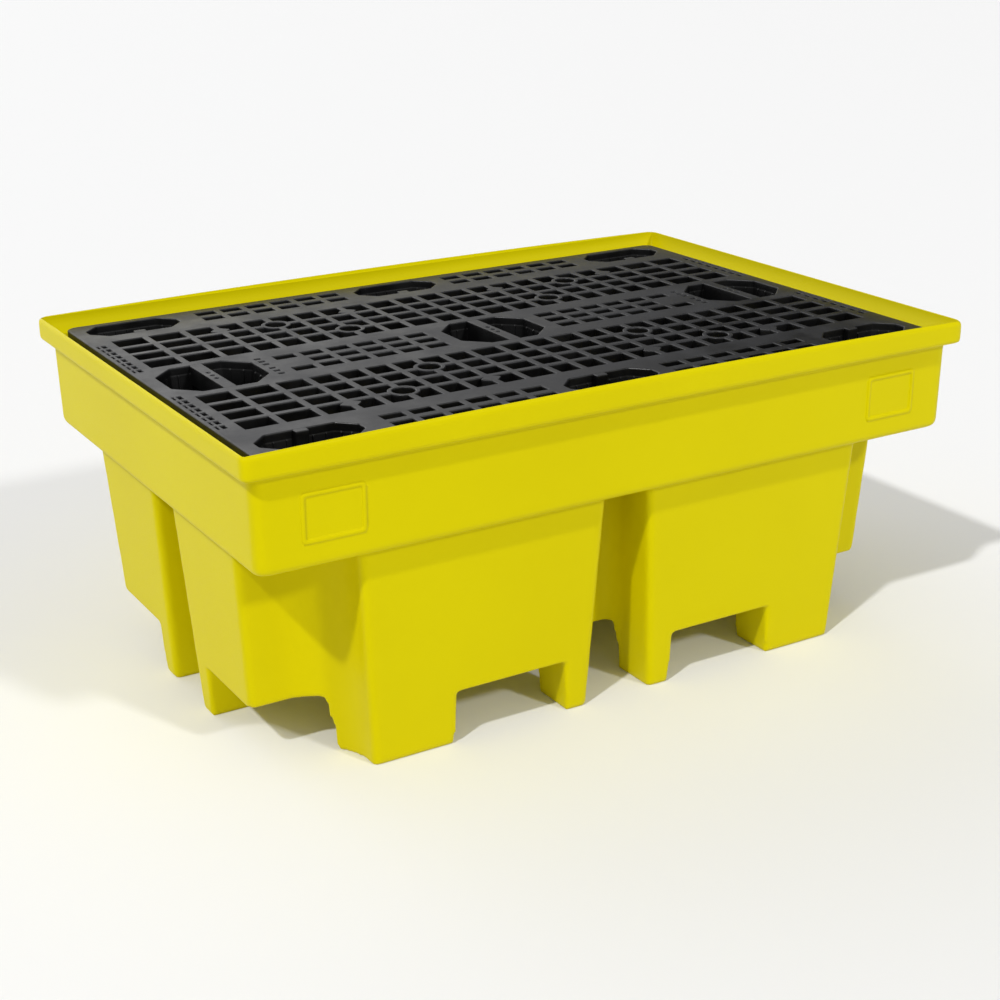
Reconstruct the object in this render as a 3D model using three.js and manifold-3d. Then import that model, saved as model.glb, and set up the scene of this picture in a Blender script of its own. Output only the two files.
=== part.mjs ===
// A spill containment pallet: a one-piece rotomoulded sump with four-way fork entry, and the nestable
// grid pallet that stands inside it as a lift-out deck. Millimetres, +Z up, +X along the length. The
// origin is on the ground, under the middle of the sump.
import * as THREE from "three";
import { mergeGeometries, mergeVertices } from "three/addons/utils/BufferGeometryUtils.js";
import Module from "manifold-3d";

const wasm = await Module();
wasm.setup();

// ---- Sump: overall sizes
const rimLength = 1270;
const rimWidth = 870;
const sumpHeight = 540;
const wall = 5; // moulded skin, the same all over

// ---- Sump: rim and collar
const rimDepth = 43; // height of the stepped-out band round the top
const rimOverhang = 17; // how far that band stands out over the collar
const rimCorner = 11;
const rimChamfer = 2;
const collarDepth = 145; // from the band's underside down to the collar's underside
const collarDraft = 2; // how much each collar wall leans in, top to bottom
const collarCorner = 16;
const collarBottomRadius = 11;

// ---- Sump: cross-shaped lower body, sizes at ground level
const bodyInset = 60; // from the rim's outer face to the body's outer faces
const draft = 0.057; // every lower wall leans out by this much for each unit of height
const notchLength = 142; // corner notches, measured along the sump
const notchWidth = 111; // and across it
const notchRadius = 92;
const blockCorner = 10;
const recessHalf = 58; // half the upright recess in the middle of each side
const recessDepth = 100;
const recessRadius = 32;
const recessFlat = 2; // half the least flat kept between the two fillets of a recess

// ---- Sump: feet and fork tunnels
const tunnelHeight = 88;
const tunnelInner = 98; // inner wall of a fork tunnel, from the middle
const cornerFootLength = 136; // foot at each end of a long side, measured along it
const footDepth = 80; // from the outer face inwards

// ---- Sump: hollow post under the deck's middle leg
const postRadius = 60;
const postTopRadius = 46;

// ---- Sump: blank raised frames on the front of the collar
const frameWidth = 98;
const frameHeight = 74;
const frameBorder = 6;
const frameProud = 1.2;
const frameBelowRim = 34; // from the rim's underside down to the frame
const frameFromEnd = 70; // from the collar's end to the frame

// ---- Deck: a nestable pallet
const deckClearance = 13; // between the deck and the top of the collar, all round
const deckBelowRim = 23;
const deckCorner = 20;
const deckEdgeDepth = 30;
const deckSheet = 14;
const deckSkirt = 5;
const legWall = 4;
const legTaper = 12; // how much smaller a leg is at its foot, on each side
const legGap = 0.3; // clearance under each leg

// ---- Deck: pockets, the open tops of the legs
const pocketLength = 158;
const pocketFromEnd = 24; // from the deck's end to the outer pockets
const middlePocketWidth = 140;
const middlePocketCut = 36; // corners cut off at 45 degrees, measured along each side
const edgePocketWidth = 72;
const edgePocketCut = 26;
const edgePocketWall = 16; // from the deck's side to an edge pocket
const pocketBridge = 20;
const pocketStub = 12; // how far a stub as wide as a bridge reaches into each edge pocket

// ---- Deck: grid
const gridMargin = 39; // plain strip at each end of the deck
const gridBar = 11.5; // width of the bars that run across
const gridRail = 13; // and of those that run along the deck
const gridColumns = 11; // from the middle to each end
const gridExtra = { 1: 7.7, 8: 8.2, 9: 17.5, 10: 10.3 }; // columns longer than the rest, by this much
const bandRows = 4;
const bandOuterStrip = 37; // plain strip between the edge pockets and the grid
const bandInnerStrip = 21; // and between the middle pockets and the grid
const smallRowPitch = 36.5;
const smallRowHeight = 22;
const smallRowOffset = 17.5; // from an edge pocket's inner side to the first small row
const smallColumns = [2, 7]; // first and last column between two pockets
const ringOuter = 25;
const ringInner = 17.5;
const bossRadius = 13;
const bossShift = 15; // how far a boss stands off its crossing
const drainSlot = { length: 14, width: 7, fromEnd: 18, pitch: 23.5, count: 8, start: 84 };

const cutMargin = 10; // how far a cutting tool runs past what it cuts
const arcSteps = 4;

// ---- Derived sizes
const collarTop = sumpHeight - rimDepth;
const collarFloor = collarTop - collarDepth;
const shelfTop = collarFloor + wall;
const bodyLengthHalf = rimLength / 2 - bodyInset;
const bodyWidthHalf = rimWidth / 2 - bodyInset;
const blockHalfLength = bodyLengthHalf - notchLength;
const sideBlockHalf = bodyWidthHalf - notchWidth;
const tunnelOuter = blockHalfLength - cornerFootLength;
const deckLength = rimLength - 2 * (rimOverhang + wall + deckClearance);
const deckWidth = rimWidth - 2 * (rimOverhang + wall + deckClearance);
const deckTop = sumpHeight - deckBelowRim;
const legFoot = shelfTop + legGap;
const pocketX = deckLength / 2 - pocketFromEnd - pocketLength / 2;
const edgePocketY = deckWidth / 2 - edgePocketWall - edgePocketWidth / 2;
const bandOuter = edgePocketY - edgePocketWidth / 2 - bandOuterStrip;
const bandInner = middlePocketWidth / 2 + bandInnerStrip;
const bandPitch = (bandOuter - bandInner) / bandRows;

const vec = (x, y) => new THREE.Vector2(x, y);

// A closed loop through corners given as [x, y, radius], counter-clockwise seen from above.
function roundedLoop(corners, steps = arcSteps) {
  const points = [];
  corners.forEach(([x, y, radius], i) => {
    const [px, py] = corners.at(i - 1);
    const [nx, ny] = corners[(i + 1) % corners.length];
    const here = vec(x, y);
    const back = vec(px, py).sub(here).normalize();
    const ahead = vec(nx, ny).sub(here).normalize();
    const half = Math.acos(THREE.MathUtils.clamp(back.dot(ahead), -1, 1)) / 2;
    const centre = back.clone().add(ahead).setLength(radius / Math.sin(half)).add(here);
    const from = back.clone().multiplyScalar(radius / Math.tan(half)).add(here).sub(centre);
    const to = ahead.clone().multiplyScalar(radius / Math.tan(half)).add(here).sub(centre);
    const turn = Math.atan2(from.cross(to), from.dot(to));
    for (let k = 0; k <= steps; k++)
      points.push(from.clone().rotateAround(vec(0, 0), (turn * k) / steps).add(centre));
  });
  return points;
}

function rectangleLoop(length, width, radius, x = 0, y = 0) {
  const a = length / 2;
  const b = width / 2;
  return roundedLoop([
    [x + a, y - b, radius],
    [x + a, y + b, radius],
    [x - a, y + b, radius],
    [x - a, y - b, radius],
  ]);
}

// A closed solid through loops of equal length, each at its own height, lowest first.
function loft(sections) {
  const count = sections[0].loop.length;
  const positions = sections.flatMap(({ z, loop }) => loop.flatMap((p) => [p.x, p.y, z]));
  const index = [];
  for (let s = 0; s + 1 < sections.length; s++)
    for (let i = 0; i < count; i++) {
      const a = s * count + i;
      const b = s * count + ((i + 1) % count);
      index.push(a, b, b + count, a, b + count, a + count);
    }
  const capAt = (s, flip) => {
    for (const [a, b, c] of THREE.ShapeUtils.triangulateShape(sections[s].loop, []))
      index.push(...(flip ? [a, c, b] : [a, b, c]).map((v) => v + s * count));
  };
  capAt(0, true);
  capAt(sections.length - 1, false);
  const geometry = new THREE.BufferGeometry();
  geometry.setAttribute("position", new THREE.Float32BufferAttribute(positions, 3));
  return geometry.setIndex(index);
}

// A box between two corners, each [x, y, z].
function box([x0, y0, z0], [x1, y1, z1]) {
  const geometry = new THREE.BoxGeometry(x1 - x0, y1 - y0, z1 - z0);
  return geometry.translate((x0 + x1) / 2, (y0 + y1) / 2, (z0 + z1) / 2);
}

function upright(radiusLow, radiusHigh, z0, z1, x = 0, y = 0, sides = 24) {
  const geometry = new THREE.CylinderGeometry(radiusHigh, radiusLow, z1 - z0, sides);
  return geometry.rotateX(Math.PI / 2).translate(x, y, (z0 + z1) / 2);
}

// Turns one geometry, or several that stand clear of each other, into a solid that can be joined and cut.
function solid(...geometries) {
  const bare = geometries.map((g) => {
    g.deleteAttribute("normal");
    g.deleteAttribute("uv");
    return mergeVertices(g, 1e-3);
  });
  const all = bare.length > 1 ? mergeGeometries(bare) : bare[0];
  return new wasm.Manifold(
    new wasm.Mesh({
      numProp: 3,
      vertProperties: new Float32Array(all.attributes.position.array),
      triVerts: new Uint32Array(all.index.array),
    }),
  );
}

function meshOf(made, name, material) {
  const { vertProperties, triVerts } = made.getMesh();
  const geometry = new THREE.BufferGeometry();
  geometry.setAttribute("position", new THREE.BufferAttribute(vertProperties, 3));
  geometry.setIndex(new THREE.BufferAttribute(triVerts, 1));
  geometry.computeVertexNormals();
  const mesh = new THREE.Mesh(geometry, material);
  mesh.name = name;
  return mesh;
}

// ---- Sump

// The lower body's plan: four blocks, a notch at each corner and a recess in each side. grow moves
// every wall outwards, so the recesses close by as much.
function bodyLoop(grow) {
  const x = bodyLengthHalf + grow;
  const y = bodyWidthHalf + grow;
  const slot = recessHalf - grow;
  const fillet = Math.min(recessRadius, slot - recessFlat);
  const quarter = [
    [bodyLengthHalf - recessDepth + grow, slot, fillet],
    [x, slot, blockCorner],
    [x, sideBlockHalf + grow, blockCorner],
    [blockHalfLength + grow, sideBlockHalf + grow, notchRadius],
    [blockHalfLength + grow, y, blockCorner],
    [slot, y, blockCorner],
    [slot, bodyWidthHalf - recessDepth + grow, fillet],
  ];
  const mirrored = (sx, sy) => quarter.map(([px, py, r]) => [sx * px, sy * py, r]);
  return roundedLoop([
    ...mirrored(1, 1),
    ...mirrored(-1, 1).reverse(),
    ...mirrored(-1, -1),
    ...mirrored(1, -1).reverse(),
  ]);
}

// The body between two heights, with its skin moved in by inset.
function bodyBetween(z0, z1, inset) {
  return solid(loft([z0, z1].map((z) => ({ z, loop: bodyLoop(draft * z - inset) }))));
}

// Where the feet stand, as upright blocks between two heights; each leans back by the same draft.
function footBlocks(z0, z1, inset) {
  const far = rimLength;
  const innerX = bodyLengthHalf - footDepth;
  const innerY = bodyWidthHalf - footDepth;
  const block = (xs, ys) => {
    const at = (z) => {
      const give = draft * z - inset;
      const [x0, x1] = xs(give);
      const [y0, y1] = ys(give);
      return { z, loop: [vec(x1, y0), vec(x1, y1), vec(x0, y1), vec(x0, y0)] };
    };
    return loft([at(z0), at(z1)]);
  };
  const middle = (give) => [-tunnelInner - give, tunnelInner + give];
  const beyond = (start, side) => (give) => (side > 0 ? [start - give, far] : [-far, give - start]);
  const blocks = [block(middle, middle)];
  for (const side of [-1, 1]) {
    blocks.push(block(middle, beyond(innerY, side)));
    blocks.push(block(beyond(innerX, side), middle));
    for (const end of [-1, 1]) blocks.push(block(beyond(tunnelOuter, end), beyond(innerY, side)));
  }
  return solid(...blocks);
}

// Rim band and collar. inset moves the skin in; low and high are where the two stages end.
function tray(inset, floor, step, top, bottomRadius, chamfer) {
  const rim = (edge) => {
    const lean = inset + edge;
    return rectangleLoop(rimLength - 2 * lean, rimWidth - 2 * lean, rimCorner - inset);
  };
  const collar = (edge) => {
    const lean = rimOverhang + inset + edge;
    return rectangleLoop(rimLength - 2 * lean, rimWidth - 2 * lean, collarCorner - inset);
  };
  const bend = bottomRadius * (1 - Math.SQRT1_2);
  const lower = loft([
    { z: floor, loop: collar(collarDraft + bottomRadius) },
    { z: floor + bend, loop: collar(collarDraft + bend) },
    { z: floor + bottomRadius, loop: collar(collarDraft) },
    { z: step + wall / 2, loop: collar(0) },
  ]);
  const upper = loft([
    { z: step, loop: rim(0) },
    { z: sumpHeight - rimChamfer, loop: rim(0) },
    { z: sumpHeight, loop: rim(chamfer) },
    ...(top > sumpHeight ? [{ z: top, loop: rim(chamfer) }] : []),
  ]);
  return solid(lower).add(solid(upper));
}

// A blank raised frame on the collar's front, with its outer end at the given side.
function blankFrame(side) {
  const face = rimWidth / 2 - rimOverhang;
  const end = rimLength / 2 - rimOverhang - frameFromEnd;
  const x = [end - frameWidth, end].map((v) => side * v).sort((a, b) => a - b);
  const z1 = collarTop - frameBelowRim;
  const z0 = z1 - frameHeight;
  const inwards = collarDraft + wall / 2;
  const plate = solid(box([x[0], -face - frameProud, z0], [x[1], inwards - face, z1]));
  const opening = box(
    [x[0] + frameBorder, -face - cutMargin, z0 + frameBorder],
    [x[1] - frameBorder, cutMargin - face, z1 - frameBorder],
  );
  return plate.subtract(solid(opening));
}

function makeSump() {
  const outside = tray(0, collarFloor, collarTop, sumpHeight, collarBottomRadius, rimChamfer)
    .add(bodyBetween(tunnelHeight, collarFloor + wall / 2, 0))
    .add(bodyBetween(0, tunnelHeight + wall / 2, 0).intersect(footBlocks(0, tunnelHeight + wall / 2, 0)));
  const wellTop = tunnelHeight + wall + 1;
  const inside = tray(wall, shelfTop, collarTop + wall, sumpHeight + cutMargin, wall, -rimChamfer)
    .add(bodyBetween(tunnelHeight + wall, shelfTop + 1, wall))
    .add(bodyBetween(wall, wellTop, wall).intersect(footBlocks(wall, wellTop, wall)));
  const post = solid(upright(postRadius, postTopRadius, wall / 2, shelfTop));
  const postBore = solid(upright(postRadius - wall, postTopRadius - wall, -cutMargin, collarFloor));
  return outside
    .subtract(inside.subtract(post))
    .subtract(postBore)
    .add(blankFrame(-1))
    .add(blankFrame(1));
}

// ---- Deck

// The pockets, in three rows: row 0 lies along the middle and has a bar across each pocket.
const pockets = [-1, 0, 1].flatMap((column) =>
  [-1, 0, 1].map((row) => ({
    x: column * pocketX,
    y: row * edgePocketY,
    row,
    width: row ? edgePocketWidth : middlePocketWidth,
    cut: row ? edgePocketCut : middlePocketCut,
  })),
);

// A rectangle with its corners cut off at 45 degrees.
function cutRectangle(length, width, cut, x, y) {
  const a = length / 2;
  const b = width / 2;
  const quarter = [[a, b - cut], [a - cut, b]];
  const mirrored = (sx, sy) => quarter.map(([px, py]) => vec(x + sx * px, y + sy * py));
  return [
    ...mirrored(1, 1),
    ...mirrored(-1, 1).reverse(),
    ...mirrored(-1, -1),
    ...mirrored(1, -1).reverse(),
  ];
}

// A leg's outer or inner skin; grow is the wall added round the pocket.
function legSkin({ x, y, width, cut }, z0, z1, grow) {
  const at = (z, taper) => {
    const wider = grow - taper;
    const corner = cut + wider * (2 - Math.SQRT2);
    return { z, loop: cutRectangle(pocketLength + 2 * wider, width + 2 * wider, corner, x, y) };
  };
  return loft([at(z0, legTaper), at(z1, 0)]);
}

// Where the bars of one half of the grid stand, from the middle outwards, then the grid's end.
function gridLines() {
  const extra = Object.values(gridExtra).reduce((a, b) => a + b, 0);
  const pitch = (deckLength / 2 - gridMargin - extra) / gridColumns;
  const lines = [0];
  for (let i = 0; i < gridColumns; i++) lines.push(lines[i] + pitch + (gridExtra[i] ?? 0));
  return lines;
}

function deckHoles() {
  const lines = gridLines();
  const low = deckTop - deckEdgeDepth - cutMargin;
  const high = deckTop + cutMargin;
  const holes = [];
  const column = (i) => [lines[i] + gridBar / 2, lines[i + 1] - (i + 1 < gridColumns ? gridBar / 2 : 0)];
  const cut = (x0, x1, y0, y1) => {
    for (const sx of [-1, 1])
      for (const sy of [-1, 1]) {
        const xs = [sx * x0, sx * x1].sort((a, b) => a - b);
        const ys = [sy * y0, sy * y1].sort((a, b) => a - b);
        holes.push(box([xs[0], ys[0], low], [xs[1], ys[1], high]));
      }
  };
  for (let i = 0; i < gridColumns; i++)
    for (let row = 0; row < bandRows; row++) {
      const start = bandInner + row * bandPitch;
      const from = row ? start + gridRail / 2 : start;
      const to = row + 1 < bandRows ? start + bandPitch - gridRail / 2 : start + bandPitch;
      cut(...column(i), from, to);
    }
  for (let i = smallColumns[0]; i <= smallColumns[1]; i++) {
    const [x0, x1] = column(i);
    const firstRow = edgePocketY - edgePocketWidth / 2 + smallRowOffset;
    for (const y of [smallRowPitch, firstRow, firstRow + smallRowPitch])
      cut(x0, x1, y - smallRowHeight / 2, y + smallRowHeight / 2);
    if (i < smallColumns[1])
      for (const xs of [[x0, x1], [-x1, -x0]])
        holes.push(box([xs[0], -smallRowHeight / 2, low], [xs[1], smallRowHeight / 2, high]));
  }
  const slotX = deckLength / 2 - drainSlot.fromEnd;
  for (let k = 0; k < drainSlot.count; k++) {
    const y = drainSlot.start + k * drainSlot.pitch;
    const half = [drainSlot.width / 2, drainSlot.length / 2];
    cut(slotX - half[0], slotX + half[0], y - half[1], y + half[1]);
  }
  return solid(...holes);
}

// Round rings on two crossings and small bosses beside two others, in each quarter of the grid.
function gridBosses() {
  const lines = gridLines();
  const z0 = deckTop - deckSheet;
  const rings = [];
  const bores = [];
  const bosses = [];
  for (const sx of [-1, 1])
    for (const sy of [-1, 1]) {
      for (const [column, row] of [[4, 1], [6, 3]]) {
        const at = [sx * lines[column], sy * (bandInner + row * bandPitch)];
        rings.push(upright(ringOuter, ringOuter, z0, deckTop, ...at));
        bores.push(upright(ringInner, ringInner, z0 - cutMargin, deckTop + cutMargin, ...at));
      }
      for (const column of [3, 8]) {
        const y = bandInner + 3 * bandPitch + bossShift;
        bosses.push(upright(bossRadius, bossRadius, z0, deckTop, sx * lines[column], sy * y, 12));
      }
    }
  return { added: solid(...rings, ...bosses), bores: solid(...bores) };
}

function makeDeck() {
  const sheetBottom = deckTop - deckSheet;
  const edgeBottom = deckTop - deckEdgeDepth;
  const slab = (z0, z1, inset) => {
    const loop = rectangleLoop(deckLength - 2 * inset, deckWidth - 2 * inset, deckCorner - inset);
    return solid(loft([z0, z1].map((z) => ({ z, loop }))));
  };
  const bosses = gridBosses();
  const grid = slab(edgeBottom, deckTop, 0)
    .subtract(slab(edgeBottom - cutMargin, sheetBottom, deckSkirt))
    .subtract(deckHoles())
    .add(bosses.added)
    .subtract(bosses.bores);
  const legs = solid(...pockets.map((p) => legSkin(p, legFoot, deckTop, legWall)));
  const hollows = solid(...pockets.map((p) => legSkin(p, legFoot + legWall, deckTop + cutMargin, 0)));
  const bars = pockets.map(({ x, y, row, width }) => {
    const half = width / 2 + legWall / 2;
    const [y0, y1] = row ? [row * y - half, row * y - width / 2 + pocketStub] : [-half, half];
    const ys = row < 0 ? [-y1, -y0] : [y0, y1];
    return box([x - pocketBridge / 2, ys[0], edgeBottom], [x + pocketBridge / 2, ys[1], deckTop]);
  });
  return grid.add(legs).subtract(hollows).add(solid(...bars));
}

const yellowPlastic = new THREE.MeshStandardMaterial({ color: 0xdcd200, roughness: 0.42, metalness: 0 });
const blackPlastic = new THREE.MeshStandardMaterial({ color: 0x1b1c1e, roughness: 0.5, metalness: 0 });

const pallet = new THREE.Group();
pallet.add(meshOf(makeSump(), "sump", yellowPlastic));
pallet.add(meshOf(makeDeck(), "deck_grid", blackPlastic));

export default pallet;
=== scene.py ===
import math
import bpy
import bmesh
from mathutils import Matrix, Vector
from mathutils.bvhtree import BVHTree
from mathutils.geometry import tessellate_polygon


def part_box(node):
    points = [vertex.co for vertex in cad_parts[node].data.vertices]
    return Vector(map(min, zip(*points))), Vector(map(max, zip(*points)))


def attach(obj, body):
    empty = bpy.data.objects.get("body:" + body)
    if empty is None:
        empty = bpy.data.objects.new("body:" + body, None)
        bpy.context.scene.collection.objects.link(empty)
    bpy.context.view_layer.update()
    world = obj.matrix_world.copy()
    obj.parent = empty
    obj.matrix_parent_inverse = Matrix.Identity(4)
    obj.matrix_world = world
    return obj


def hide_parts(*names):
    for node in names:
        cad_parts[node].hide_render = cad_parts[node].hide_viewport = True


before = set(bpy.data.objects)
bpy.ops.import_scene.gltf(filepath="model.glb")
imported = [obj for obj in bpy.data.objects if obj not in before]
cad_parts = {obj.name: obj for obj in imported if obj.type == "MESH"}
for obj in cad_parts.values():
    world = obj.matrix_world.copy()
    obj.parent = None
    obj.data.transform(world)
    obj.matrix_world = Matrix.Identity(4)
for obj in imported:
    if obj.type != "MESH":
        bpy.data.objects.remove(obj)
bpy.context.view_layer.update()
sumpLow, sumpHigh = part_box("sump")
deckLow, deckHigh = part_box("deck_grid")
print("frame loaded")

mm = 0.001
arcPitch = 2.5 * mm  # radius per facet of an arc, so big arcs get more facets


# corners are (x, y, radius) in order, the result is a closed loop with an arc at each
def roundedLoop(corners, steps=0):
    loop = []
    count = len(corners)
    for i, (x, y, radius) in enumerate(corners):
        here = Vector((x, y))
        back = (Vector(corners[i - 1][:2]) - here).normalized()
        ahead = (Vector(corners[(i + 1) % count][:2]) - here).normalized()
        half = back.angle(ahead) / 2
        if radius <= 0:
            loop.append(here)
            continue
        centre = here + (back + ahead).normalized() * radius / math.sin(half)
        start = here + back * radius / math.tan(half) - centre
        turn = start.angle_signed(here + ahead * radius / math.tan(half) - centre)
        pieces = steps or max(3, round(radius / arcPitch))
        for k in range(pieces + 1):
            loop.append(centre + Matrix.Rotation(-turn * k / pieces, 2) @ start)
    return loop


def rectangleLoop(length, width, radius, centre=(0, 0), steps=0):
    a, b = length / 2, width / 2
    signs = ((1, -1), (1, 1), (-1, 1), (-1, -1))
    return roundedLoop([(centre[0] + sx * a, centre[1] + sy * b, radius) for sx, sy in signs], steps)


def capFaces(bm, verts, flip):
    faces = tessellate_polygon([[v.co for v in verts]])
    for tri in faces:
        corner = [verts[i] for i in tri]
        normal = (corner[1].co - corner[0].co).cross(corner[2].co - corner[0].co)
        if (normal.z < 0) != flip:
            corner.reverse()
        bm.faces.new(corner)


# a closed solid through loops of equal length, lowest first
def loftInto(bm, sections):
    rings = [[bm.verts.new((p[0], p[1], z)) for p in loop] for z, loop in sections]
    for low, high in zip(rings, rings[1:]):
        for i in range(len(low)):
            j = (i + 1) % len(low)
            bm.faces.new((low[i], low[j], high[j], high[i]))
    capFaces(bm, rings[0], True)
    capFaces(bm, rings[-1], False)


def newObject(name, bm):
    mesh = bpy.data.meshes.new(name)
    bm.to_mesh(mesh)
    bm.free()
    obj = bpy.data.objects.new(name, mesh)
    bpy.context.scene.collection.objects.link(obj)
    return obj


def loftObject(name, *solids):
    bm = bmesh.new()
    for sections in solids:
        loftInto(bm, sections)
    return newObject(name, bm)


def applyModifiers(obj):
    graph = bpy.context.evaluated_depsgraph_get()
    mesh = bpy.data.meshes.new_from_object(obj.evaluated_get(graph))
    obj.modifiers.clear()
    old = obj.data
    obj.data = mesh
    bpy.data.meshes.remove(old)


def combine(obj, tool, operation):
    step = obj.modifiers.new(operation, "BOOLEAN")
    step.operation = operation
    step.solver = "MANIFOLD"
    step.object = tool
    applyModifiers(obj)
    bpy.data.objects.remove(tool)
    return obj


def smoothShade(obj):
    for face in obj.data.polygons:
        face.use_smooth = True


# sizes of the sump in metres, heights are from the ground
sump = {
    "wall": 5 * mm,
    "rimDepth": 43 * mm,
    "rimOverhang": 17 * mm,
    "rimCorner": 11 * mm,
    "rimEdge": 3 * mm,
    "collarDepth": 145 * mm,
    "collarDraft": 2 * mm,
    "collarCorner": 16 * mm,
    "collarEdge": 11 * mm,
    "bodyInset": 60 * mm,
    "draft": 0.057,
    "notch": (142 * mm, 111 * mm),
    "notchRadius": 92 * mm,
    "blockCorner": 10 * mm,
    "recessHalf": 58 * mm,
    "recessDepth": 100 * mm,
    "recessRadius": 32 * mm,
    "tunnelHeight": 88 * mm,
    "tunnelInner": 98 * mm,
    "cornerFoot": 136 * mm,
    "footDepth": 80 * mm,
    "post": (60 * mm, 46 * mm),
    "voxel": 4 * mm,
    "softening": 4,
    "snap": (0.25 * mm, 0.9 * mm),  # flats go back to the true face, rounded edges stay
    "lastSoftening": 3,
    "sag": 5.5 * mm,  # the rim stands highest in the middle of each long side
    "footSkin": 11 * mm,  # the hollow feet are thicker, which keeps their thin edges whole
}
rimHalf = (sumpHigh.x, sumpHigh.y)
sumpTop = sumpHigh.z
collarTop = sumpTop - sump["rimDepth"]
collarFloor = collarTop - sump["collarDepth"]
bodyHalf = [h - sump["bodyInset"] for h in rimHalf]
footInner = [h - sump["footDepth"] for h in bodyHalf]
tunnelOuter = bodyHalf[0] - sump["notch"][0] - sump["cornerFoot"]


# the lower body's plan, grow moves every wall outwards
def bodyLoop(grow):
    x, y = bodyHalf[0] + grow, bodyHalf[1] + grow
    slot = sump["recessHalf"] - grow
    backX, backY = x - sump["recessDepth"], y - sump["recessDepth"]
    notchX, notchY = x - sump["notch"][0], y - sump["notch"][1]
    tight = sump["blockCorner"]
    quarter = [
        (backX, slot, sump["recessRadius"]),
        (x, slot, tight),
        (x, notchY, tight),
        (notchX, notchY, sump["notchRadius"]),
        (notchX, y, tight),
        (slot, y, tight),
        (slot, backY, sump["recessRadius"]),
    ]
    corners = []
    for sx, sy in ((1, 1), (-1, 1), (-1, -1), (1, -1)):
        part = [(sx * px, sy * py, r) for px, py, r in quarter]
        corners += part if sx == sy else part[::-1]
    return roundedLoop(corners)


def bodySolid(name, low, high, inset):
    sections = [(z, bodyLoop(sump["draft"] * z - inset)) for z in (low, high)]
    return loftObject(name, sections)


# upright blocks where the feet stand, each leans back with the draft
def footSolid(name, low, high, inset):
    far = 1.2
    solids = []

    def middle(give):
        return (-sump["tunnelInner"] - give, sump["tunnelInner"] + give)

    def beyond(start, side):
        def span(give):
            return (start - give, far) if side > 0 else (-far, give - start)
        return span

    def block(xs, ys):
        sections = []
        for z in (low, high):
            give = sump["draft"] * z - inset
            (x0, x1), (y0, y1) = xs(give), ys(give)
            sections.append((z, [(x1, y0), (x1, y1), (x0, y1), (x0, y0)]))
        solids.append(sections)

    block(middle, middle)
    for side in (-1, 1):
        block(middle, beyond(footInner[1], side))
        block(beyond(footInner[0], side), middle)
        for end in (-1, 1):
            block(beyond(tunnelOuter, end), beyond(footInner[1], side))
    return loftObject(name, *solids)


def plan(lean, corner):
    return rectangleLoop(2 * (rimHalf[0] - lean), 2 * (rimHalf[1] - lean), corner)


# quarter circle of offsets (inwards, along) that rounds an edge
def arcSteps(radius, steps=5):
    angles = [math.pi / 2 * k / steps for k in range(steps + 1)]
    return [(radius * (1 - math.cos(a)), radius * (1 - math.sin(a))) for a in angles]


# collar and rim band as one lofted solid each
def traySolid(name, inset, floor, step, top, edge, flare):
    over = sump["rimOverhang"] + inset
    corner = sump["collarCorner"] - inset
    lower = []
    for inwards, up in reversed(arcSteps(edge)):
        lower.append((floor + up, plan(over + sump["collarDraft"] + inwards, corner)))
    lower.append((step + sump["wall"] / 2, plan(over, corner)))
    rimRound = sump["rimCorner"] - inset
    upper = [(step, plan(inset, rimRound))]
    for inwards, down in arcSteps(sump["rimEdge"] if flare > 0 else sump["wall"] / 3):
        upper.append((sumpTop - down, plan(inset + flare * inwards, rimRound)))
    if top > sumpTop:
        upper.append((top, upper[-1][1]))
    obj = loftObject(name, lower)
    return combine(obj, loftObject("tool", upper), "UNION")


def postSolid(name, radii, low, high):
    bm = bmesh.new()
    matrix = Matrix.Translation((0, 0, (low + high) / 2))
    bmesh.ops.create_cone(bm, cap_ends=True, segments=64, radius1=radii[0], radius2=radii[1],
                          depth=high - low, matrix=matrix)
    return newObject(name, bm)


# remeshes a hard-edged solid, relaxes it, and lays its flats back on the true faces
def softenEdges(obj, voxel, rounds):
    hard = bmesh.new()
    hard.from_mesh(obj.data)
    bmesh.ops.triangulate(hard, faces=hard.faces)
    tree = BVHTree.FromBMesh(hard)
    hard.free()
    grid = obj.modifiers.new("grid", "REMESH")
    grid.mode = "VOXEL"
    grid.voxel_size = voxel
    relax = obj.modifiers.new("relax", "SMOOTH")
    relax.factor = 0.5
    relax.iterations = rounds
    applyModifiers(obj)
    near, far = sump["snap"]
    for vert in obj.data.vertices:
        point, normal, index, distance = tree.find_nearest(vert.co, 5 * mm)
        if point is None or distance > far:
            continue
        share = 1 if distance < near else (far - distance) / (far - near)
        vert.co = vert.co.lerp(point, share * share * (3 - 2 * share))
    last = obj.modifiers.new("last", "SMOOTH")
    last.factor = 0.5
    last.iterations = sump["lastSoftening"]
    applyModifiers(obj)
    return obj


# lets the rim down towards its corners and all along the short sides
def sagRim(obj):
    for vert in obj.data.vertices:
        rise = (vert.co.z - collarTop) / sump["rimDepth"]
        if rise <= 0:
            continue
        along = abs(vert.co.x) / rimHalf[0]
        vert.co.z -= sump["sag"] * min(1, rise) * along * along


# blank raised frame on the front of the collar, as one closed ring with rounded edges
frameShape = {
    "width": 98 * mm,
    "height": 74 * mm,
    "border": 6 * mm,
    "proud": 1.2 * mm,
    "belowRim": 34 * mm,
    "fromEnd": 70 * mm,
    "corner": 7 * mm,
}


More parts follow.
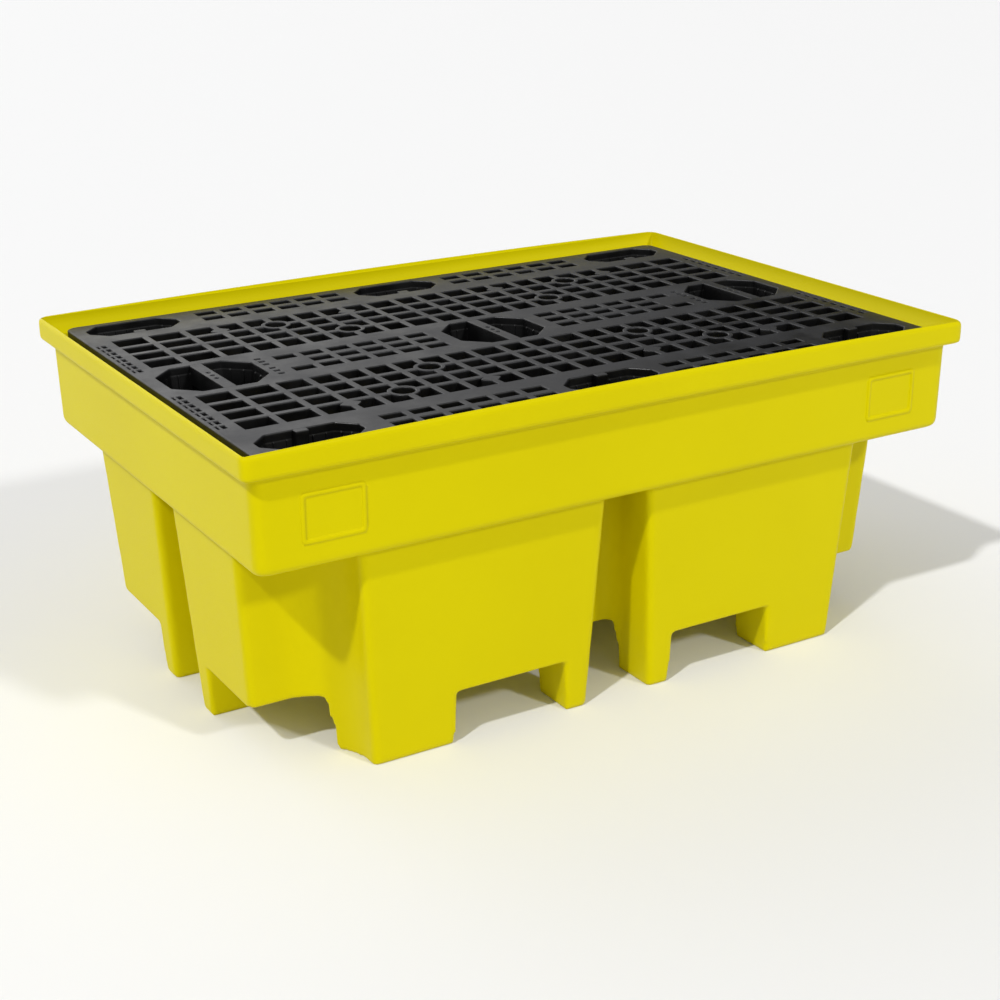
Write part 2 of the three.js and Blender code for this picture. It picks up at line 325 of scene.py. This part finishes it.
def blankFrame(side):
    width, height, border = frameShape["width"], frameShape["height"], frameShape["border"]
    proud = frameShape["proud"]
    face = rimHalf[1] - sump["rimOverhang"]
    middleX = side * (rimHalf[0] - sump["rimOverhang"] - frameShape["fromEnd"] - width / 2)
    top = collarTop - frameShape["belowRim"]
    section = ((0, -3 * mm), (0, proud / 2), (0.5 * mm, proud), (border - 0.5 * mm, proud),
               (border, proud / 2), (border, -3 * mm))
    bm = bmesh.new()
    rings = []
    for inwards, out in section:
        corner = frameShape["corner"] - inwards / 2
        loop = rectangleLoop(width - 2 * inwards, height - 2 * inwards, corner, steps=6)
        ring = []
        for x, z in loop:
            level = top - height / 2 + z
            lean = sump["collarDraft"] * (collarTop - level) / sump["collarDepth"]
            ring.append(bm.verts.new((middleX + x, -(face - lean + out), level)))
        rings.append(ring)
    for k, ring in enumerate(rings):
        other = rings[(k + 1) % len(rings)]
        for i in range(len(ring)):
            j = (i + 1) % len(ring)
            bm.faces.new((ring[i], ring[j], other[j], other[i]))
    bmesh.ops.recalc_face_normals(bm, faces=bm.faces)
    return newObject("blankFrame", bm)


def buildSump():
    wall = sump["wall"]
    tunnel = sump["tunnelHeight"]
    outside = traySolid("sumpShell", 0, collarFloor, collarTop, sumpTop, sump["collarEdge"], 1)
    combine(outside, bodySolid("tool", tunnel, collarFloor + wall / 2, 0), "UNION")
    feet = bodySolid("feet", 0, tunnel + wall / 2, 0)
    combine(feet, footSolid("tool", 0, tunnel + wall / 2, 0), "INTERSECT")
    combine(outside, feet, "UNION")
    bore = [r - wall for r in sump["post"]]
    combine(outside, postSolid("tool", bore, -0.01, collarFloor), "DIFFERENCE")
    print("sump outside joined")
    softenEdges(outside, sump["voxel"], sump["softening"])
    print("sump edges softened", len(outside.data.polygons))
    floor = collarFloor + wall
    inside = traySolid("inside", wall, floor, collarTop + wall, sumpTop + 0.01, wall, -1)
    combine(inside, bodySolid("tool", tunnel + wall, floor + wall / 4, wall), "UNION")
    skin = sump["footSkin"]
    feet = bodySolid("feet", skin, tunnel + wall * 1.2, skin)
    combine(feet, footSolid("tool", skin, tunnel + wall * 1.2, skin), "INTERSECT")
    combine(inside, feet, "UNION")
    combine(inside, postSolid("tool", sump["post"], 0, floor), "DIFFERENCE")
    combine(outside, inside, "DIFFERENCE")
    for side in (-1, 1):
        combine(outside, blankFrame(side), "UNION")
    sagRim(outside)
    smoothShade(outside)
    print("sump hollowed", len(outside.data.polygons))
    return outside


yellow = {
    "light": (0.655, 0.57, 0.0, 1),
    "deep": (0.63, 0.54, 0.0, 1),
    "gloss": (1.0, 0.93, 0.25, 1),
    "roughness": (0.38, 0.48),
}


def node(tree, kind, **sockets):
    made = tree.nodes.new(kind)
    for name, value in sockets.items():
        made.inputs[name.replace("_", " ")].default_value = value
    return made


def mapRange(tree, source, low, high, start, end):
    made = tree.nodes.new("ShaderNodeMapRange")
    for name, value in zip(("From Min", "From Max", "To Min", "To Max"), (low, high, start, end)):
        made.inputs[name].default_value = value
    tree.links.new(source, made.inputs["Value"])
    return made.outputs["Result"]


# returns the factor socket and the colour it gives
def mixColours(tree, first, second):
    made = tree.nodes.new("ShaderNodeMix")
    made.data_type = "RGBA"
    colours = [s for s in made.inputs if s.type == "RGBA"]
    colours[0].default_value = first
    colours[1].default_value = second
    return made.inputs["Factor"], [s for s in made.outputs if s.type == "RGBA"][0]


def buildYellow():
    material = bpy.data.materials.new("yellowPolyethylene")
    material.use_nodes = True
    tree = material.node_tree
    shader = tree.nodes["Principled BSDF"]
    link = tree.links.new
    place = tree.nodes.new("ShaderNodeTexCoord")
    cloud = node(tree, "ShaderNodeTexNoise", Scale=2.2, Detail=3.0, Roughness=0.5)
    peel = node(tree, "ShaderNodeTexNoise", Scale=520.0, Detail=2.0)
    wave = node(tree, "ShaderNodeTexNoise", Scale=7.0, Detail=1.0)
    for texture in (cloud, peel, wave):
        link(place.outputs["Object"], texture.inputs["Vector"])
    factor, colour = mixColours(tree, yellow["deep"], yellow["light"])
    link(mapRange(tree, cloud.outputs["Fac"], 0.3, 0.65, 0, 1), factor)
    link(colour, shader.inputs["Base Color"])
    link(mapRange(tree, peel.outputs["Fac"], 0.3, 0.7, *yellow["roughness"]), shader.inputs["Roughness"])
    bumpWave = node(tree, "ShaderNodeBump", Strength=0.12, Distance=0.004)
    bumpPeel = node(tree, "ShaderNodeBump", Strength=0.15, Distance=0.0005)
    link(wave.outputs["Fac"], bumpWave.inputs["Height"])
    link(peel.outputs["Fac"], bumpPeel.inputs["Height"])
    link(bumpWave.outputs["Normal"], bumpPeel.inputs["Normal"])
    link(bumpPeel.outputs["Normal"], shader.inputs["Normal"])
    shader.inputs["IOR"].default_value = 1.5
    shader.inputs["Specular IOR Level"].default_value = 0.12
    shader.inputs["Specular Tint"].default_value = yellow["gloss"]
    return material


sumpShell = buildSump()
yellowMaterial = buildYellow()
sumpShell.data.materials.clear()
sumpShell.data.materials.append(yellowMaterial)
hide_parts("sump")
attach(sumpShell, "sump_body")
print("sump done")

# sizes of the deck in metres
deck = {
    "corner": 20 * mm,
    "edgeDepth": 30 * mm,
    "sheet": 14 * mm,
    "skirt": 5 * mm,
    "mouth": 1.6 * mm,  # rounding of every edge on top
    "flare": 1.2 * mm,  # how much a hole widens downwards
    "margin": 39 * mm,
    "bar": 11.5 * mm,
    "rail": 13 * mm,
    "columns": 11,
    "extra": {1: 7.7 * mm, 8: 8.2 * mm, 9: 17.5 * mm, 10: 10.3 * mm},
    "rows": 4,
    "outerStrip": 37 * mm,
    "innerStrip": 21 * mm,
    "smallPitch": 36.5 * mm,
    "smallHeight": 21 * mm,
    "smallOffset": 17.5 * mm,
    "smallColumns": (2, 7),
    "ring": (25 * mm, 17.5 * mm),
    "diamond": 18 * mm,
    "diamondShift": 15 * mm,
    "slotsX": 18 * mm,
    "slotSize": (7 * mm, 14 * mm),
    "slotPitch": 23.5 * mm,
    "slotStart": 84 * mm,
    "slotCount": 8,
    "thinSlot": (8 * mm, 11 * mm),  # from the middle of the wide slot outwards
    "nickX": 403 * mm,
    "nickStart": 12 * mm,
    "nickPitch": 17 * mm,
    "nickCount": 3,
    "nickHalf": (5 * mm, 3 * mm),
    "ribDepth": 9 * mm,  # ribs under the sheet
    "ribWidth": 4 * mm,
}
pocket = {
    "length": 158 * mm,
    "fromEnd": 24 * mm,
    "middle": (140 * mm, 36 * mm),  # width and cut corner
    "edge": (72 * mm, 26 * mm),
    "edgeWall": 16 * mm,
    "wall": 4 * mm,
    "taper": 12 * mm,
    "flutes": 22 * mm,
    "fluteDepth": 1.8 * mm,
    "fluteWidth": 3 * mm,
    "corner": 7 * mm,
    "bridge": 20 * mm,
    "stub": 12 * mm,
    "pin": 3.2 * mm,
    "pinPitch": 17 * mm,
}
deckHalf = (deckHigh.x, deckHigh.y)
deckTop = deckHigh.z
legFoot = deckLow.z
pocketX = deckHalf[0] - pocket["fromEnd"] - pocket["length"] / 2
pocketY = deckHalf[1] - pocket["edgeWall"] - pocket["edge"][0] / 2
bandInner = pocket["middle"][0] / 2 + deck["innerStrip"]
bandOuter = pocketY - pocket["edge"][0] / 2 - deck["outerStrip"]
rowPitch = (bandOuter - bandInner) / deck["rows"]


def gridLines():
    pitch = (deckHalf[0] - deck["margin"] - sum(deck["extra"].values())) / deck["columns"]
    lines = [0.0]
    for i in range(deck["columns"]):
        lines.append(lines[i] + pitch + deck["extra"].get(i, 0))
    return lines


# a cutter for one hole: straight below, flared to a rounded mouth at the top
def mouthSections(shape, depth, top=None):
    top = deckTop if top is None else top
    mouth = deck["mouth"]
    sections = [(top - depth, shape(deck["flare"])), (top - mouth, shape(0))]
    for share in (0.6, 0.25):
        sections.append((top - mouth * share, shape(mouth * (1 - math.sqrt(1 - (1 - share) ** 2)))))
    sections.append((top, shape(mouth)))
    sections.append((top + 4 * mm, shape(mouth + 1 * mm)))
    return sections


def holeShape(x0, x1, y0, y1, corner):
    centre = ((x0 + x1) / 2, (y0 + y1) / 2)

    def shape(grow):
        return rectangleLoop(x1 - x0 + 2 * grow, y1 - y0 + 2 * grow, corner + grow / 2, centre, steps=3)
    return shape


def circleShape(x, y, radius, sides=40):
    def shape(grow):
        turns = [2 * math.pi * k / sides for k in range(sides)]
        return [(x + (radius + grow) * math.cos(a), y + (radius + grow) * math.sin(a)) for a in turns]
    return shape


def diamondShape(x, y, reach):
    def shape(grow):
        r = reach + grow
        tips = ((r, 0), (0, r), (-r, 0), (0, -r))
        return roundedLoop([(x + tx, y + ty, 3 * mm) for tx, ty in tips], 3)
    return shape


# a plate whose upper edge is rounded over
def plateSections(shape, low, top, edge):
    sections = [(low, shape(0)), (top - edge, shape(0))]
    for share in (0.6, 0.25):
        sections.append((top - edge * share, shape(-edge * (1 - math.sqrt(1 - (1 - share) ** 2)))))
    sections.append((top, shape(-edge)))
    return sections


def fourWays(x0, x1, y0, y1):
    for sx in (-1, 1):
        for sy in (-1, 1):
            xs, ys = sorted((sx * x0, sx * x1)), sorted((sy * y0, sy * y1))
            yield xs[0], xs[1], ys[0], ys[1]


def gridHoles():
    lines, bar, rail = gridLines(), deck["bar"], deck["rail"]
    depth = deck["edgeDepth"] + 4 * mm
    holes = []

    def column(i):
        return lines[i] + bar / 2, lines[i + 1] - (bar / 2 if i + 1 < deck["columns"] else 0)

    def cut(x0, x1, y0, y1, corner=1.6 * mm):
        for spot in fourWays(x0, x1, y0, y1):
            holes.append(mouthSections(holeShape(*spot, corner), depth))

    for i in range(deck["columns"]):
        for row in range(deck["rows"]):
            start = bandInner + row * rowPitch
            low = start + (rail / 2 if row else 0)
            high = start + rowPitch - (rail / 2 if row + 1 < deck["rows"] else 0)
            cut(*column(i), low, high)
    first, last = deck["smallColumns"]
    half = deck["smallHeight"] / 2
    outerRow = pocketY - pocket["edge"][0] / 2 + deck["smallOffset"]
    for i in range(first, last + 1):
        x0, x1 = column(i)
        for y in (deck["smallPitch"], outerRow, outerRow + deck["smallPitch"]):
            cut(x0, x1, y - half, y + half)
        if i < last:
            for xs in ((x0, x1), (-x1, -x0)):
                holes.append(mouthSections(holeShape(*xs, -half, half, 1.6 * mm), depth))
    slotX = deckHalf[0] - deck["slotsX"]
    wide, tall = (v / 2 for v in deck["slotSize"])
    thinStart, thinEnd = deck["thinSlot"]
    for k in range(deck["slotCount"]):
        y = deck["slotStart"] + k * deck["slotPitch"]
        cut(slotX - wide, slotX + wide, y - tall, y + tall, 1.2 * mm)
        cut(slotX + thinStart, slotX + thinEnd, y - tall, y + tall, 0.8 * mm)
    nickX, (nickWide, nickTall) = deck["nickX"], deck["nickHalf"]
    for k in range(deck["nickCount"]):  # short slots between the end pockets and the grid
        y = deck["nickStart"] + k * deck["nickPitch"]
        cut(nickX - nickWide, nickX + nickWide, y - nickTall, y + nickTall, 1 * mm)
    return holes


# the octagonal plan of a pocket; flute is how far the upright flutes on its walls stand in
def pocketLoop(spot, grow, flute):
    x, y, width, cut = spot
    a, b = pocket["length"] / 2 + grow, width / 2 + grow
    c = cut + grow * (2 - math.sqrt(2))
    points = [(a, c - b), (a, b - c), (a - c, b), (c - a, b)]
    points += [(-px, -py) for px, py in points]
    arcs = roundedLoop([(x + px, y + py, pocket["corner"]) for px, py in points], 4)
    spans = (width - 2 * cut, 1.4 * cut, pocket["length"] - 2 * cut, 1.4 * cut)
    loop = []
    for i in range(8):
        arc = arcs[5 * i:5 * i + 5]
        start, end = arc[-1], arcs[(5 * i + 5) % 40]
        along = (end - start).normalized()
        inwards = Vector((-along.y, along.x)) * flute
        count = round(spans[i % 4] / pocket["flutes"])
        room = 0.6 * (end - start).length / max(1, count)
        half = along * min(pocket["fluteWidth"], room) / 2
        loop += arc
        for k in range(count):
            middle = start.lerp(end, (k + 0.5) / count)
            loop += [middle - half, middle - half * 0.5 + inwards]
            loop += [middle + half * 0.5 + inwards, middle + half]
    return loop


def pocketSpots():
    for column in (-1, 0, 1):
        for row in (-1, 0, 1):
            width, cut = pocket["edge"] if row else pocket["middle"]
            yield row, (column * pocketX, row * pocketY, width, cut)


def legSolids(grow):
    edge = 2.5 * mm
    solids = []
    taper = grow - pocket["taper"]
    for _, spot in pocketSpots():
        solids.append([
            (legFoot, pocketLoop(spot, taper - edge, 0)),
            (legFoot + 0.3 * edge, pocketLoop(spot, taper - 0.3 * edge, 0)),
            (legFoot + edge, pocketLoop(spot, taper, 0)),
            (deckTop - deck["sheet"] / 2, pocketLoop(spot, grow, 0)),
        ])
    return solids


def hollowSolids():
    low = deckTop - deck["sheet"]
    deep = pocket["fluteDepth"]
    solids = []
    for _, spot in pocketSpots():
        def mouth(grow):
            return pocketLoop(spot, grow, 0)
        sections = [(legFoot + pocket["wall"], pocketLoop(spot, -pocket["taper"], deep)),
                    (low, pocketLoop(spot, -0.4 * mm, deep)), (low + 2 * mm, pocketLoop(spot, 0, 0))]
        solids.append(sections + mouthSections(mouth, deck["sheet"])[1:])
    return solids


# bars across the middle pockets, stubs on the inner side of the edge ones
def pocketBars():
    low = deckTop - deck["edgeDepth"]
    half = pocket["bridge"] / 2
    bars = []
    for row, (x, y, width, cut) in pocketSpots():
        reach = width / 2 + pocket["wall"] / 2
        ys = (-reach, reach)
        if row:
            ys = sorted((y - row * reach, y - row * (width / 2 - pocket["stub"])))
        bars.append(plateSections(holeShape(x - half, x + half, *ys, 2.5 * mm), low, deckTop, 1.2 * mm))
    return bars


def ribSolids(across):
    low = deckTop - deck["sheet"] - deck["ribDepth"]
    high = deckTop - deck["sheet"] + 1 * mm
    half = deck["ribWidth"] / 2
    ends = [h - deck["skirt"] / 2 for h in deckHalf]
    if across:
        places = sorted({sx * x for x in gridLines() for sx in (-1, 1)})
        shapes = [holeShape(x - half, x + half, -ends[1], ends[1], 0)(0) for x in places]
        return [[(low, shape), (high, shape)] for shape in shapes]
    rails = [bandInner + row * rowPitch for row in range(deck["rows"] + 1)] + [deck["smallPitch"] / 2]
    places = sorted({sy * y for y in rails for sy in (-1, 1)})
    shapes = [holeShape(-ends[0], ends[0], y - half, y + half, 0)(0) for y in places]
    return [[(low, shape), (high, shape)] for shape in shapes]


def buildDeck():
    low = deckTop - deck["edgeDepth"]
    under = deckTop - deck["sheet"]

    def slab(grow):
        length, width = (2 * (h + grow) for h in deckHalf)
        return rectangleLoop(length, width, deck["corner"] + grow, steps=12)
    grid = loftObject("deckGrid", plateSections(slab, low, deckTop, 2.5 * mm))
    hollow = slab(-deck["skirt"])
    combine(grid, loftObject("tool", [(low - 10 * mm, hollow), (under, hollow)]), "DIFFERENCE")
    for across in (True, False):
        combine(grid, loftObject("tool", *ribSolids(across)), "UNION")
    combine(grid, loftObject("tool", *gridHoles()), "DIFFERENCE")
    print("deck holes cut", len(grid.data.polygons))
    lines = gridLines()
    plates, bores = [], []
    for sx in (-1, 1):
        for sy in (-1, 1):
            for column, row in ((4, 1), (6, 3)):
                spot = (sx * lines[column], sy * (bandInner + row * rowPitch))
                plates.append(plateSections(circleShape(*spot, deck["ring"][0]), under, deckTop, 1.2 * mm))
                bores.append(mouthSections(circleShape(*spot, deck["ring"][1]), deck["edgeDepth"]))
            for column in (3, 8):
                spot = (sx * lines[column], sy * (bandInner + 3 * rowPitch + deck["diamondShift"]))
                plates.append(plateSections(diamondShape(*spot, deck["diamond"]), under, deckTop, 1.2 * mm))
    combine(grid, loftObject("tool", *plates), "UNION")
    combine(grid, loftObject("tool", *bores), "DIFFERENCE")
    combine(grid, loftObject("tool", *legSolids(pocket["wall"])), "UNION")
    combine(grid, loftObject("tool", *hollowSolids()), "DIFFERENCE")
    combine(grid, loftObject("tool", *pocketBars()), "UNION")
    pins = []  # small holes along the bars across the middle pockets
    for column in (-1, 0, 1):
        for y in (-pocket["pinPitch"], 0, pocket["pinPitch"]):
            shape = circleShape(column * pocketX, y, pocket["pin"], 16)
            pins.append(mouthSections(shape, deck["edgeDepth"] + 4 * mm))
    combine(grid, loftObject("tool", *pins), "DIFFERENCE")
    print("deck built", len(grid.data.polygons))
    return grid


black = {
    "light": (0.019, 0.0195, 0.022, 1),
    "deep": (0.005, 0.005, 0.006, 1),
    "paintedHoleShade": (0.001, 0.001, 0.0011, 1),  # painted shade on the walls of the holes and pockets under the deck top
    "holeShadeDepths": (4 * mm, 0.6 * mm),
    "roughness": (0.34, 0.5),
}


def buildBlack():
    material = bpy.data.materials.new("blackPolyethylene")
    material.use_nodes = True
    tree = material.node_tree
    shader = tree.nodes["Principled BSDF"]
    link = tree.links.new
    place = tree.nodes.new("ShaderNodeTexCoord")
    scuff = node(tree, "ShaderNodeTexNoise", Scale=14.0, Detail=5.0, Roughness=0.65)
    grain = node(tree, "ShaderNodeTexNoise", Scale=650.0, Detail=2.0)
    link(place.outputs["Object"], scuff.inputs["Vector"])
    link(place.outputs["Object"], grain.inputs["Vector"])
    factor, dusty = mixColours(tree, black["deep"], black["light"])
    link(mapRange(tree, scuff.outputs["Fac"], 0.35, 0.65, 0, 1), factor)
    # painted shade: from 0.6 mm to 4 mm under the deck top the colour darkens to the near-black hole
    # colour, so hole and pocket walls read as shaded
    height = tree.nodes.new("ShaderNodeSeparateXYZ")
    link(place.outputs["Object"], height.inputs["Vector"])
    start, end = (deckTop - depth for depth in black["holeShadeDepths"])
    near, colour = mixColours(tree, black["paintedHoleShade"], black["light"])
    link(mapRange(tree, height.outputs["Z"], start, end, 0, 1), near)
    link(dusty, [i for i in near.node.inputs if i.type == "RGBA"][1])
    link(colour, shader.inputs["Base Color"])
    link(mapRange(tree, scuff.outputs["Fac"], 0.35, 0.65, *black["roughness"]), shader.inputs["Roughness"])
    bumpScuff = node(tree, "ShaderNodeBump", Strength=0.25, Distance=0.0012)
    bumpGrain = node(tree, "ShaderNodeBump", Strength=0.25, Distance=0.0004)
    link(scuff.outputs["Fac"], bumpScuff.inputs["Height"])
    link(grain.outputs["Fac"], bumpGrain.inputs["Height"])
    link(bumpScuff.outputs["Normal"], bumpGrain.inputs["Normal"])
    link(bumpGrain.outputs["Normal"], shader.inputs["Normal"])
    shader.inputs["IOR"].default_value = 1.5
    return material


deckGrid = buildDeck()
deckGrid.data.materials.clear()
deckGrid.data.materials.append(buildBlack())
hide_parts("deck_grid")
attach(deckGrid, "deck_body")
print("deck done")


view = {
    "lens": 63.04,
    "azimuth": -30.72,
    "elevation": 20.35,
    "roll": -0.70,
    "distance": 2.898,
    "pivot": 0.535,
    "aim": (0.0114, 0.2347),
}


def placeCamera():
    azimuth, elevation, roll = (math.radians(view[k]) for k in ("azimuth", "elevation", "roll"))
    back = Vector((math.sin(azimuth) * math.cos(elevation), -math.cos(azimuth) * math.cos(elevation),
                   math.sin(elevation)))
    right = Vector((math.cos(azimuth), math.sin(azimuth), 0))
    up = back.cross(right)
    turnedRight = math.cos(roll) * right + math.sin(roll) * up
    turnedUp = math.cos(roll) * up - math.sin(roll) * right
    pivot = Vector((0, 0, view["pivot"]))
    target = pivot + turnedRight * view["aim"][0] + turnedUp * (view["aim"][1] - view["pivot"])
    place = target + back * view["distance"]
    matrix = Matrix((turnedRight, turnedUp, back)).transposed().to_4x4()
    matrix.translation = place
    camera = bpy.data.objects.new("camera", bpy.data.cameras.new("camera"))
    camera.data.lens = view["lens"]
    camera.data.sensor_width = 36
    camera.matrix_world = matrix
    bpy.context.scene.collection.objects.link(camera)
    bpy.context.scene.camera = camera


studio = {
    "keyFrom": (-0.59, -0.325, 0.77),
    "keyPower": 1.6,
    "keyAngle": 2.5,
    "fillFrom": (0.25, -0.78, 0.57),
    "fillPower": 1.02,
    "fillAngle": 5,
    "ambient": 0.42,
    "panelFrom": (-0.26, 0.94, 0.25),  # bright wall at the back left, mirrored by the deck
    "panelGlow": 1.8,
    "darkFrom": (0.8, 0.57, 0.2),  # dim corner at the back right
    "darkShare": 0.05,
    "floorSize": 30,
    "floorColour": (0.86, 0.86, 0.86, 1),
}


def sun(name, direction, power, angle):
    lamp = bpy.data.lights.new(name, "SUN")
    lamp.energy = power
    lamp.angle = math.radians(angle)
    obj = bpy.data.objects.new(name, lamp)
    obj.rotation_euler = Vector(direction).to_track_quat("Z", "Y").to_euler()
    bpy.context.scene.collection.objects.link(obj)


def buildStudio():
    sun("keyLight", studio["keyFrom"], studio["keyPower"], studio["keyAngle"])
    sun("fillLight", studio["fillFrom"], studio["fillPower"], studio["fillAngle"])
    world = bpy.data.worlds.new("studio")
    bpy.context.scene.world = world
    world.use_nodes = True
    tree = world.node_tree
    place = tree.nodes.new("ShaderNodeTexCoord")

    def towards(direction, low, high, start, end):
        facing = tree.nodes.new("ShaderNodeVectorMath")
        facing.operation = "DOT_PRODUCT"
        facing.inputs[1].default_value = Vector(direction).normalized()
        tree.links.new(place.outputs["Generated"], facing.inputs[0])
        return mapRange(tree, facing.outputs["Value"], low, high, start, end)

    panel = towards(studio["panelFrom"], 0.6, 0.95, 0, studio["panelGlow"])
    ambient = studio["ambient"]
    dark = towards(studio["darkFrom"], 0.75, 0.93, ambient, ambient * studio["darkShare"])
    total = tree.nodes.new("ShaderNodeMath")
    total.operation = "MAXIMUM"
    tree.links.new(panel, total.inputs[0])
    tree.links.new(dark, total.inputs[1])
    tree.links.new(total.outputs["Value"], tree.nodes["Background"].inputs["Strength"])
    tree.nodes["Background"].inputs["Color"].default_value = (1, 1, 1, 1)
    bm = bmesh.new()
    bmesh.ops.create_grid(bm, x_segments=1, y_segments=1, size=studio["floorSize"])
    floor = newObject("floor", bm)
    paper = bpy.data.materials.new("paleFloor")
    paper.use_nodes = True
    paper.node_tree.nodes["Principled BSDF"].inputs["Base Color"].default_value = studio["floorColour"]
    paper.node_tree.nodes["Principled BSDF"].inputs["Roughness"].default_value = 0.9
    floor.data.materials.append(paper)
    bpy.context.scene.view_settings.view_transform = "Standard"


placeCamera()
buildStudio()
print("camera and light set")
